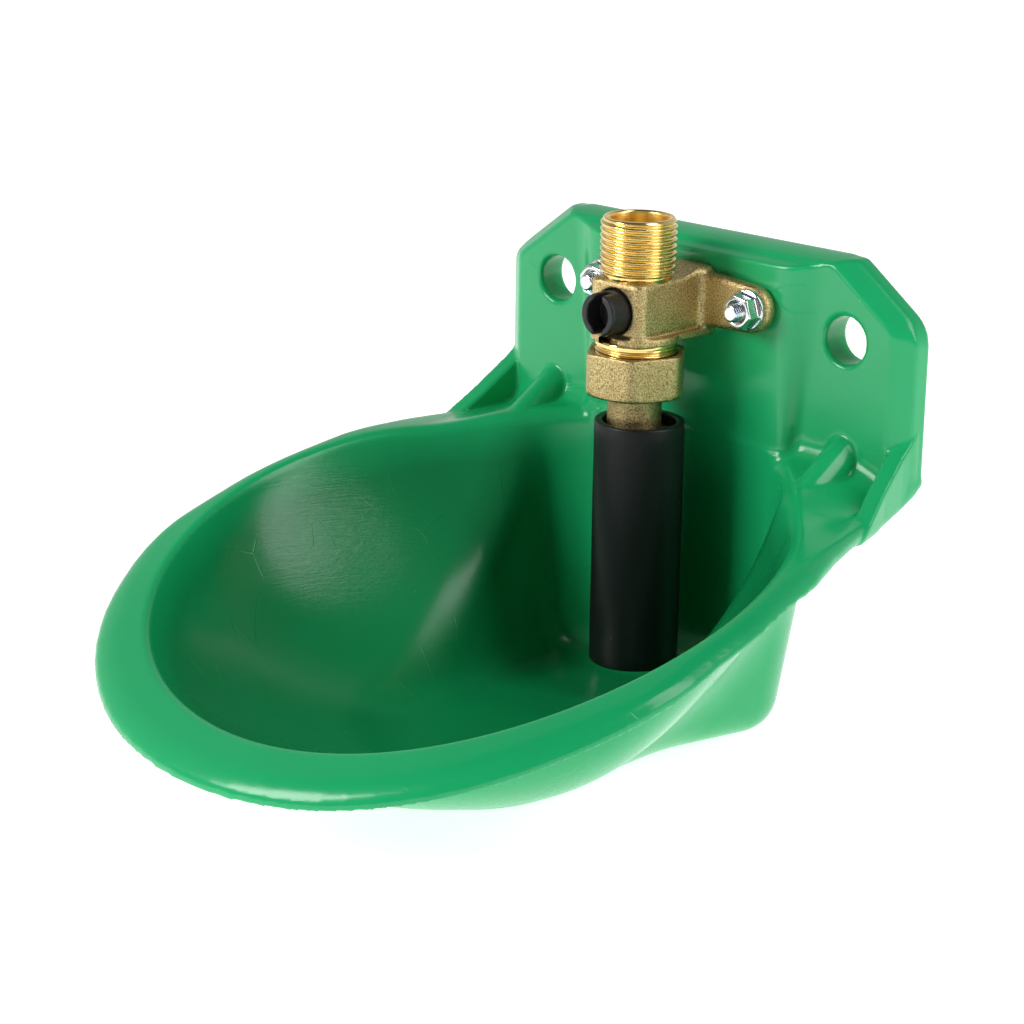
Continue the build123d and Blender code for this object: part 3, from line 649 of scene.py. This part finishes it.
def make_tube():
    """Slightly uneven tube with softly cut ends."""
    segments = 180
    angle = np.linspace(0, 2 * np.pi, segments, endpoint=False)
    outer, inner, bottom, top = 12.5, 10.2, -97.0, -27.0
    wobble = 0.035 * np.sin(2 * angle + 0.7) + 0.02 * np.sin(3 * angle)
    cut = 0.10 * np.sin(angle + 1.1) + 0.04 * np.sin(5 * angle)
    # end profiles: radius, height
    foot = [(inner, bottom + 0.5), (inner + 0.35, bottom + 0.12), (inner + 0.8, bottom + 0.02),
            (outer - 0.6, bottom), (outer - 0.2, bottom + 0.15), (outer - 0.02, bottom + 0.5)]
    head = [(outer, top - 0.55), (outer - 0.12, top - 0.2), (outer - 0.4, top - 0.03),
            (outer - 0.9, top), (inner + 0.5, top - 0.02), (inner + 0.1, top - 0.25),
            (inner, top - 0.6)]
    rows = [(radius + wobble, z + cut * 0.5) for radius, z in foot]
    rows += [(outer + wobble + 0.03 * math.sin(z * 0.21), z)
             for z in np.linspace(bottom + 4, top - 4, 16)]
    rows += [(radius + wobble, z - cut * 0.6) for radius, z in head]
    rows += [(inner, z) for z in np.linspace(top - 4, bottom + 4, 10)]
    return lathe("suction_tube", segments, rows, (2.0, AXIS_Y, 0))


def make_spring():
    coil_radius, wire_radius, pitch, height, bottom = 3.2, 0.4, 1.28, 5.2, -5.45
    steps, sides = 160, 12
    turn = np.linspace(0, height / pitch * 2 * np.pi, steps)
    centre = np.stack([coil_radius * np.cos(turn), coil_radius * np.sin(turn),
                       bottom + pitch * turn / (2 * np.pi)], 1)
    tangent = np.stack([-coil_radius * np.sin(turn), coil_radius * np.cos(turn),
                        np.full(steps, pitch / (2 * np.pi))], 1)
    tangent /= np.linalg.norm(tangent, axis=1)[:, None]
    outward = np.stack([np.cos(turn), np.sin(turn), np.zeros(steps)], 1)
    across = np.cross(tangent, outward)
    angle = np.linspace(0, 2 * np.pi, sides, endpoint=False)[None, :, None]
    section = np.cos(angle) * outward[:, None] + np.sin(angle) * across[:, None]
    wire = (centre[:, None] + wire_radius * section).reshape(-1, 3)
    # a point just beyond each end closes the wire
    ends = [centre[:1] - tangent[:1] * 0.12, centre[-1:] + tangent[-1:] * 0.12]
    points = np.concatenate([wire, *ends]) + np.array([0, AXIS_Y, 0])
    i = np.arange(sides)
    j = (i + 1) % sides
    quads = []
    for k in range(steps - 1):
        here, there = k * sides, (k + 1) * sides
        quads.append(np.stack([here + i, there + i, there + j, here + j], 1))
    last = (steps - 1) * sides
    first_tip = np.full(sides, steps * sides)
    tris = [np.stack([first_tip, i, j], 1), np.stack([first_tip + 1, last + j, last + i], 1)]
    return new_mesh("coil_spring", points, np.concatenate(quads), tris=np.concatenate(tris))


# ---------------------------------------------------------------- shader helpers
class Shader:
    """Short calls for the nodes of a material or world; inputs take values or sockets."""

    def __init__(self, owner):
        owner.use_nodes = True
        self.owner = owner
        self.tree = owner.node_tree

    def plug(self, socket, value):
        if isinstance(value, bpy.types.NodeSocket):
            self.tree.links.new(value, socket)
        else:
            socket.default_value = value

    def node(self, kind, inputs=None, **settings):
        made = self.tree.nodes.new("ShaderNode" + kind)
        for key, value in settings.items():
            setattr(made, key, value)
        for key, value in (inputs or {}).items():
            self.plug(made.inputs[key], value)
        return made

    def look(self, inputs):
        """Fill in the surface and return the material."""
        for key, value in inputs.items():
            self.plug(self.surface.inputs[key], value)
        return self.owner

    def math(self, operation, *values):
        return self.node("Math", dict(enumerate(values)), operation=operation).outputs[0]

    def add(self, a, b):
        return self.math("ADD", a, b)

    def sub(self, a, b):
        return self.math("SUBTRACT", a, b)

    def mul(self, a, b):
        return self.math("MULTIPLY", a, b)

    def distance(self, a, b):
        return self.math("SQRT", self.add(self.mul(a, a), self.mul(b, b)))

    def vector_math(self, operation, a, b):
        return self.node("VectorMath", {0: a, 1: b}, operation=operation).outputs

    def position(self):
        return self.node("TexCoord").outputs["Object"]

    def split(self, vector):
        return self.node("SeparateXYZ", {0: vector}).outputs

    def coords(self, scale=(1, 1, 1)):
        position = self.position()
        return self.node("Mapping", {"Vector": position, "Scale": scale}).outputs[0]

    def noise(self, vector, scale=1.0, detail=3.0, rough=0.5):
        inputs = {"Vector": vector, "Scale": scale, "Detail": detail, "Roughness": rough}
        return self.node("TexNoise", inputs).outputs[0]

    def voronoi(self, vector, scale, **settings):
        inputs = {"Vector": vector, "Scale": scale}
        return self.node("TexVoronoi", inputs, **settings).outputs["Distance"]

    def ramp(self, value, stops):
        """Grey ramp; stops map position to level."""
        made = self.node("ValToRGB", {0: value})
        elements = made.color_ramp.elements
        while len(elements) < len(stops):
            elements.new(0.5)
        for element, (position, level) in zip(elements, stops.items()):
            element.position = position
            element.color = grey(level)
        return made.outputs[0]

    def mix(self, amount, a, b):
        """Colour a, turning to b by the amount."""
        return self.node("Mix", {0: amount, 6: a, 7: b}, data_type="RGBA").outputs[2]

    def relief(self, *layers):
        """Normal from bumps laid over each other: (height, strength, distance in m)."""
        normal = None
        for height, strength, reach in layers:
            inputs = {"Strength": strength, "Distance": reach, "Height": height}
            if normal is not None:
                inputs["Normal"] = normal
            normal = self.node("Bump", inputs).outputs[0]
        return normal

    def specks(self, colour, tint, cells, patches, size, start, strength):
        """Small spots of tint at cell centres, only where the patch noise is above start."""
        spot = self.ramp(cells, {0.0: 1.0, size: 0.0})
        patch = self.ramp(patches, {start: 0.0, start + 0.10: 1.0})
        return self.mix(self.mul(self.mul(spot, patch), strength), colour, tint)


def material(name):
    mat = Shader(bpy.data.materials.new(name))
    mat.tree.nodes.clear()
    output = mat.node("OutputMaterial")
    mat.surface = mat.node("BsdfPrincipled")
    mat.plug(output.inputs[0], mat.surface.outputs[0])
    return mat


def grey(level):
    return (level, level, level, 1)


def srgb(*channels):
    """Linear colour from 0-255 display values."""
    def linear(value):
        return value / 12.92 if value <= 0.04045 else ((value + 0.055) / 1.055) ** 2.4
    return (*(linear(channel / 255) for channel in channels), 1)


def shade(colour, factor):
    return (*(channel * factor for channel in colour[:3]), 1)


# ---------------------------------------------------------------- materials
SCUFF = (-0.0715, -0.0810, -0.0690)     # scuffed patch on the left (-x) wall of the bowl, m


def bowl_inside(mat, x, y, z):
    """Mask of the faces inside the bowl: 1 there, 0 elsewhere."""
    from_centre = mat.add(y, -DISH_Y * MM)
    radius = mat.distance(x, from_centre)
    along = mat.add(y, -RIM_Y * MM)
    crest = mat.sub(mat.add(mat.mul(along, RIM_SLOPE), RIM_Z * MM),
                    mat.mul(mat.mul(along, along), RIM_CURVE / MM))
    below_rim = mat.sub(crest, z)
    mask = mat.mul(mat.ramp(mat.mul(radius, 10.0), {0.845: 1.0, 0.865: 0.0}),
                   mat.ramp(mat.mul(below_rim, 50.0), {0.05: 0.0, 0.6: 1.0}))
    mask = mat.mul(mask, mat.ramp(mat.mul(y, -10.0), {0.12: 0.0, 0.15: 1.0}))
    # only the faces that look towards the middle
    normal = mat.node("NewGeometry").outputs["Normal"]
    inward = {"X": mat.mul(x, -1.0), "Y": mat.mul(from_centre, -1.0), "Z": 0.05}
    inward = mat.node("CombineXYZ", inward).outputs[0]
    facing = mat.vector_math("DOT_PRODUCT", normal, inward)["Value"]
    facing = mat.ramp(mat.add(mat.mul(facing, 10.0), 0.5), {0.45: 0.0, 0.60: 1.0})
    return mat.mul(mask, facing)


def green_plastic():
    mat = material("green_plastic_look")
    place = mat.coords()
    broad = mat.noise(place, scale=9.0, detail=3.0, rough=0.55)
    mottle = mat.noise(place, scale=60.0, detail=4.0, rough=0.6)
    colour = mat.ramp(broad, {0.35: 0.0, 0.65: 1.0})
    colour = mat.mix(colour, srgb(22, 170, 103), srgb(29, 183, 113))
    colour = mat.mix(mat.mul(mottle, 0.18), colour, srgb(18, 134, 76))
    # painted shade: the faces inside the bowl are darkened towards deep green for the shade in the
    # bowl; the moulding itself is one colour
    position = mat.position()
    x, y, z = mat.split(position)
    inside = bowl_inside(mat, x, y, z)
    colour = mat.mix(mat.mul(inside, 0.54), colour, srgb(0, 86, 34))
    colour = mat.specks(colour, srgb(150, 190, 120), size=0.07, start=0.62, strength=0.5,
                        cells=mat.voronoi(mat.coords(), scale=150.0),
                        patches=mat.noise(place, scale=26.0, detail=2.0))

    # gloss varies with fine drag marks
    drag = mat.noise(mat.coords((160.0, 500.0, 900.0)), rough=0.6)
    rough = mat.add(mat.mul(mottle, 0.08), 0.13)
    rough = mat.add(rough, mat.mul(drag, 0.06))
    # the deep part is duller
    deep = mat.distance(x, mat.add(y, -SUMP_Y * MM))
    deep = mat.mul(mat.ramp(mat.mul(deep, 10.0), {0.52: 1.0, 0.70: 0.0}), inside)
    rough = mat.add(rough, mat.mul(deep, 0.04))
    # crossed marks in the scuffed patch
    scuff = mat.vector_math("DISTANCE", position, SCUFF)["Value"]
    scuff = mat.ramp(mat.mul(scuff, 30.0), {0.40: 1.0, 0.95: 0.0})
    hatch = mat.noise(mat.coords((110.0, 110.0, 1500.0)), detail=4.0, rough=0.75)
    cross = mat.noise(mat.coords((900.0, 160.0, 160.0)), rough=0.7)
    marks = mat.add(mat.mul(hatch, 0.65), mat.mul(cross, 0.35))
    marks = mat.ramp(marks, {0.40: 0.0, 0.60: 1.0})
    rough = mat.add(rough, mat.mul(mat.mul(scuff, marks), 0.06))

    # long hairline scratches, broken up by noise
    warp = {"Vector": position, "Rotation": (0.5, 0.3, 0.9), "Scale": (16.0, 70.0, 40.0)}
    warp = mat.node("Mapping", warp).outputs[0]
    hairline = mat.voronoi(warp, scale=1.0, feature="DISTANCE_TO_EDGE")
    hairline = mat.ramp(hairline, {0.0: 1.0, 0.012: 0.0})
    breaks = mat.noise(place, scale=40.0, detail=3.0, rough=0.6)
    hairline = mat.mul(hairline, mat.ramp(breaks, {0.52: 0.0, 0.66: 1.0}))
    normal = mat.relief(
        (mat.noise(place, scale=34.0, detail=2.0), 0.35, 0.0006),
        (mat.noise(place, scale=700.0, detail=2.0), 0.10, 0.00006),
        (drag, 0.18, 0.00006),
        (mat.mul(marks, scuff), 0.34, 0.00012),
        (hairline, 0.5, 0.0001))
    return mat.look({"Base Color": colour, "Roughness": rough, "IOR": 1.46, "Normal": normal})


def cast_brass(name, brightness):
    mat = material(name)
    place = mat.coords()
    grain = mat.noise(place, scale=2300.0, rough=0.7)
    pits = mat.voronoi(place, scale=1300.0)
    tone = mat.noise(place, scale=120.0)
    light, dark, warm = (shade(colour, brightness) for colour in (
        srgb(236, 214, 158), srgb(140, 120, 70), srgb(150, 112, 60)))
    colour = mat.mix(mat.ramp(grain, {0.38: 0.0, 0.58: 1.0}), dark, light)
    colour = mat.mix(mat.ramp(tone, {0.3: 0.25, 0.7: 0.0}), colour, warm)
    return mat.look({
        "Base Color": colour, "Metallic": 1.0,
        "Roughness": mat.add(mat.mul(grain, 0.22), 0.30),
        "Normal": mat.relief((grain, 0.65, 0.00022), (pits, 0.30, 0.00012))})


def turned_brass():
    mat = material("turned_brass_look")
    place = mat.coords()
    rings = mat.noise(mat.coords((40.0, 40.0, 5200.0)), detail=4.0, rough=0.7)
    colour = mat.ramp(rings, {0.35: 0.0, 0.65: 1.0})
    colour = mat.mix(colour, srgb(226, 190, 108), srgb(250, 226, 158))
    smudge = mat.noise(place, scale=160.0, rough=0.6)
    colour = mat.mix(mat.ramp(smudge, {0.60: 0.0, 0.80: 0.5}), colour, srgb(150, 96, 30))
    # inside the bore it is rougher, with a faint banded glow for light thrown round it
    x, y, _ = mat.split(mat.position())
    from_axis = mat.add(y, -AXIS_Y * MM)
    bore = mat.mul(mat.distance(x, from_axis), 100.0)
    bore = mat.ramp(bore, {0.835: 1.0, 0.845: 0.0})
    rough = mat.add(mat.mul(smudge, 0.12), 0.12)
    angle = mat.math("ARCTAN2", from_axis, x)
    band = mat.add(mat.mul(mat.math("SINE", mat.mul(angle, 9.0)), 0.5), 0.5)
    glow = mat.add(mat.mul(mat.mul(band, band), 0.45), 0.02)
    return mat.look({
        "Base Color": colour, "Metallic": 1.0,
        "Roughness": mat.add(rough, mat.mul(bore, 0.12)),
        "Emission Color": srgb(186, 146, 48),
        "Emission Strength": mat.mul(bore, glow),
        "Normal": mat.relief((rings, 0.25, 0.00005))})


def black_tube():
    mat = material("black_tube_look")
    place = mat.coords()
    streaks = mat.noise(mat.coords((700.0, 700.0, 22.0)), detail=4.0, rough=0.6)
    colour = mat.mix(streaks, srgb(10, 11, 13), srgb(21, 22, 25))
    colour = mat.specks(colour, srgb(150, 150, 150), size=0.10, start=0.60, strength=0.7,
                        cells=mat.voronoi(place, scale=330.0),
                        patches=mat.noise(place, scale=90.0, detail=2.0))
    dents = mat.noise(place, scale=260.0)
    return mat.look({
        "Base Color": colour, "IOR": 1.40,
        "Roughness": mat.add(mat.mul(streaks, 0.16), 0.34),
        "Normal": mat.relief((streaks, 0.2, 0.0001), (dents, 0.15, 0.0001))})


def speckled(name, base, light, rough, scale, metallic=0.0, relief=0.3):
    """Plain surface with a fine two-tone grain."""
    mat = material(name)
    place = mat.coords()
    grain = mat.noise(place, scale=scale, rough=0.6)
    broad = mat.noise(place, scale=scale / 8, detail=2.0)
    colour = mat.mix(mat.ramp(grain, {0.4: 0.0, 0.7: 1.0}), base, light)
    colour = mat.mix(mat.mul(broad, 0.25), colour, shade(base, 0.55))
    return mat.look({
        "Base Color": colour, "Metallic": metallic,
        "Roughness": mat.add(mat.mul(broad, 0.2), rough - 0.1),
        "Normal": mat.relief((grain, relief, 0.0001))})


def zinc_steel():
    mat = material("zinc_steel_look")
    place = mat.coords()
    tint = mat.noise(place, scale=240.0, detail=2.0)
    colour = mat.ramp(tint, {0.35: 0.0, 0.5: 0.5, 0.65: 1.0})
    colour = mat.mix(colour, srgb(190, 205, 222), srgb(232, 232, 226))
    warm = mat.ramp(mat.noise(place, scale=420.0, detail=2.0), {0.56: 0.0, 0.68: 1.0})
    colour = mat.mix(mat.mul(warm, 0.3), colour, srgb(205, 190, 150))
    fine = mat.noise(place, scale=1800.0, rough=0.6)
    return mat.look({
        "Base Color": colour, "Metallic": 1.0,
        "Roughness": mat.add(mat.mul(fine, 0.14), 0.14),
        "Normal": mat.relief((fine, 0.2, 0.00006))})


MATERIALS = {
    "green_plastic": green_plastic(),
    "cast_brass": cast_brass("cast_brass_look", brightness=1.0),
    # painted shade: the stem's brass is the cast brass darkened to 0.8, for the shade below the
    # union nut
    "stem_brass": cast_brass("stem_brass_look", brightness=0.8),
    "turned_brass": turned_brass(),
    "black_tube": black_tube(),
    "black_plastic": speckled("black_plastic_look", srgb(15, 15, 16), srgb(34, 34, 36),
                              rough=0.46, scale=1400.0, relief=0.5),
    "seal_rubber": speckled("seal_rubber_look", srgb(22, 22, 22), srgb(36, 36, 36),
                            rough=0.7, scale=900.0),
    "zinc_steel": zinc_steel(),
    "strainer_steel": speckled("strainer_steel_look", srgb(180, 182, 184), srgb(214, 214, 214),
                               rough=0.3, scale=1500.0, metallic=1.0),
    "spring_steel": speckled("spring_steel_look", srgb(150, 152, 156), srgb(200, 200, 204),
                             rough=0.25, scale=1500.0, metallic=1.0),
    "white_plastic": speckled("white_plastic_look", srgb(224, 224, 218), srgb(238, 238, 232),
                              rough=0.45, scale=700.0),
}

# Material of each loaded CAD piece
CAD_LOOKS = {
    "thrust_washer": "turned_brass", "drop_stem": "stem_brass", "clamp_bolts": "zinc_steel",
    "clamp_washers": "zinc_steel", "strainer_frame": "white_plastic",
    "strainer_mesh": "strainer_steel", "seat_insert": "turned_brass",
    "seat_o_ring": "seal_rubber", "poppet": "white_plastic", "poppet_washer": "seal_rubber",
    "poppet_clip": "spring_steel", "poppet_spring": "spring_steel",
    "regulator_o_ring": "seal_rubber", "bowl": "green_plastic", "valve_body": "cast_brass",
    "union_nut": "cast_brass", "drop_tube": "black_tube", "regulator_screw": "black_plastic",
    "clamp_nuts": "zinc_steel",
}
for node_name, slot_name in CAD_LOOKS.items():
    cad_piece = NODES[node_name]
    if not cad_piece.material_slots:
        cad_piece.data.materials.append(MATERIALS[slot_name])
    for slot in cad_piece.material_slots:
        slot.material = MATERIALS[slot_name]


# ---------------------------------------------------------------- pieces
def finish_piece(ob, slot_name, body, *replaced):
    ob.data.materials.append(MATERIALS[slot_name])
    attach(ob, body)
    if replaced:
        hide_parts(*replaced)


# Builder, material, body it rides on, CAD piece it replaces
for build, *placing in (
        (make_bowl, "green_plastic", "root", "bowl"),
        (make_casting, "cast_brass", "root", "valve_body"),
        (make_inlet, "turned_brass", "root"),
        (make_spigot, "turned_brass", "root"),
        (make_nut, "cast_brass", "root", "union_nut"),
        (make_plug, "black_plastic", "regulator", "regulator_screw"),
        (make_flange_nuts, "zinc_steel", "root", "clamp_nuts"),
        (make_bolts, "zinc_steel", "root", "clamp_bolts"),
        (make_tube, "black_tube", "tube", "drop_tube")):
    finish_piece(build(), *placing)

spring = make_spring()
finish_piece(spring, "spring_steel", "root", "poppet_spring")
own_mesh(spring)

# ---------------------------------------------------------------- floor and world, metres
FLOOR_Z = -0.1151
FLOOR_HALF = 3.0
CAMERA_SIDE = (0.55, -0.83, 0)      # level direction towards the camera


def floor_look():
    """Pale floor that glows a little less on the camera's side."""
    mat = material("floor_look")
    colour = mat.noise(mat.coords(), scale=3.0, detail=2.0)
    colour = mat.mix(colour, grey(0.90), grey(0.93))
    position = mat.node("NewGeometry").outputs["Position"]
    outward = mat.vector_math("ADD", position, (0.0, 0.06, 0.0))[0]
    outward = mat.vector_math("MULTIPLY", outward, (1, 1, 0))[0]
    outward = mat.node("VectorMath", {0: outward}, operation="NORMALIZE").outputs[0]
    facing = mat.vector_math("DOT_PRODUCT", outward, CAMERA_SIDE)["Value"]
    facing = mat.ramp(facing, {0.55: 0.0, 0.85: 1.0})
    camera_ray = mat.node("LightPath").outputs["Is Camera Ray"]
    # the camera sees an even floor
    glow = mat.mix(camera_ray, mat.sub(0.80, mat.mul(facing, 0.14)), grey(0.84))
    return mat.look({"Base Color": colour, "Roughness": 0.9,
                     "Emission Color": grey(1), "Emission Strength": glow})


def make_floor():
    mesh = bpy.data.meshes.new("floor")
    corners = [(x * FLOOR_HALF, y * FLOOR_HALF, FLOOR_Z)
               for x, y in ((-1, -1), (1, -1), (1, 1), (-1, 1))]
    mesh.from_pydata(corners, [], [(0, 1, 2, 3)])
    ob = bpy.data.objects.new("floor", mesh)
    bpy.context.scene.collection.objects.link(ob)
    mesh.materials.append(floor_look())
    return ob


def make_world():
    """White to the camera; for other rays it darkens upwards and on the camera's side."""
    world = bpy.data.worlds.new("studio")
    bpy.context.scene.world = world
    air = Shader(world)
    direction = air.node("TexCoord").outputs["Generated"]
    height = air.add(air.mul(air.split(direction)[2], 0.5), 0.5)
    sky = air.ramp(height, {0.0: 1.0, 0.50: 0.85, 0.62: 0.60, 0.82: 0.40, 0.93: 0.08, 1.0: 0.06})
    facing = air.vector_math("DOT_PRODUCT", direction, CAMERA_SIDE)["Value"]
    facing = air.ramp(air.add(air.mul(facing, 0.5), 0.5), {0.35: 0.0, 0.62: 1.0})
    sky = air.mix(facing, sky, grey(0.11))
    camera_ray = air.node("LightPath").outputs["Is Camera Ray"]
    background = air.tree.nodes["Background"]
    air.plug(background.inputs["Color"], air.mix(camera_ray, sky, grey(1.0)))
    background.inputs["Strength"].default_value = 1.0


bpy.context.view_layer.update()
make_floor()
make_world()

# ---------------------------------------------------------------- lights
LIGHT_AIM = Vector((0.0, -0.09, -0.045))
LIGHT_DISTANCE = 1.0


def softbox(name, azimuth, elevation, width, height, power):
    """Area light; azimuth runs from straight ahead (-y) towards +x, in degrees."""
    around, up = math.radians(azimuth), math.radians(elevation)
    direction = Vector((math.sin(around) * math.cos(up), -math.cos(around) * math.cos(up),
                        math.sin(up)))
    light = bpy.data.lights.new(name, "AREA")
    light.shape = "RECTANGLE"
    light.size = width
    light.size_y = height
    light.energy = power
    ob = bpy.data.objects.new(name, light)
    bpy.context.scene.collection.objects.link(ob)
    ob.location = LIGHT_AIM + direction * LIGHT_DISTANCE
    ob.rotation_euler = (-direction).to_track_quat("-Z", "Y").to_euler()


softbox("box_right", azimuth=106, elevation=38, width=0.34, height=1.10, power=5.0)
softbox("box_left", azimuth=-26, elevation=30, width=0.42, height=0.46, power=6.8)

# ---------------------------------------------------------------- camera
CAMERA_PLACE = (0.48799, -0.59350, 0.17689)
CAMERA_RIGHT = (0.7231, 0.6908, 0.0)
CAMERA_BACK = (0.65934, -0.69014, 0.29833)
CAMERA_ROLL = math.radians(0.773)
SENSOR_WIDTH, FOCAL_LENGTH = 36.0, 97.75546875      # mm


def make_camera():
    right, back = Vector(CAMERA_RIGHT).normalized(), Vector(CAMERA_BACK).normalized()
    up = back.cross(right).normalized()
    right = up.cross(back).normalized()
    cosine, sine = math.cos(CAMERA_ROLL), math.sin(CAMERA_ROLL)
    axes = Matrix((right * cosine + up * sine, up * cosine - right * sine, back))
    lens = bpy.data.cameras.new("camera")
    lens.sensor_width = SENSOR_WIDTH
    lens.lens = FOCAL_LENGTH
    lens.clip_start = 0.02
    lens.clip_end = 50
    ob = bpy.data.objects.new("camera", lens)
    bpy.context.scene.collection.objects.link(ob)
    ob.matrix_world = Matrix.Translation(CAMERA_PLACE) @ axes.transposed().to_4x4()
    bpy.context.scene.camera = ob


make_camera()
bpy.context.scene.view_settings.view_transform = "Standard"
bpy.context.scene.view_settings.look = "None"
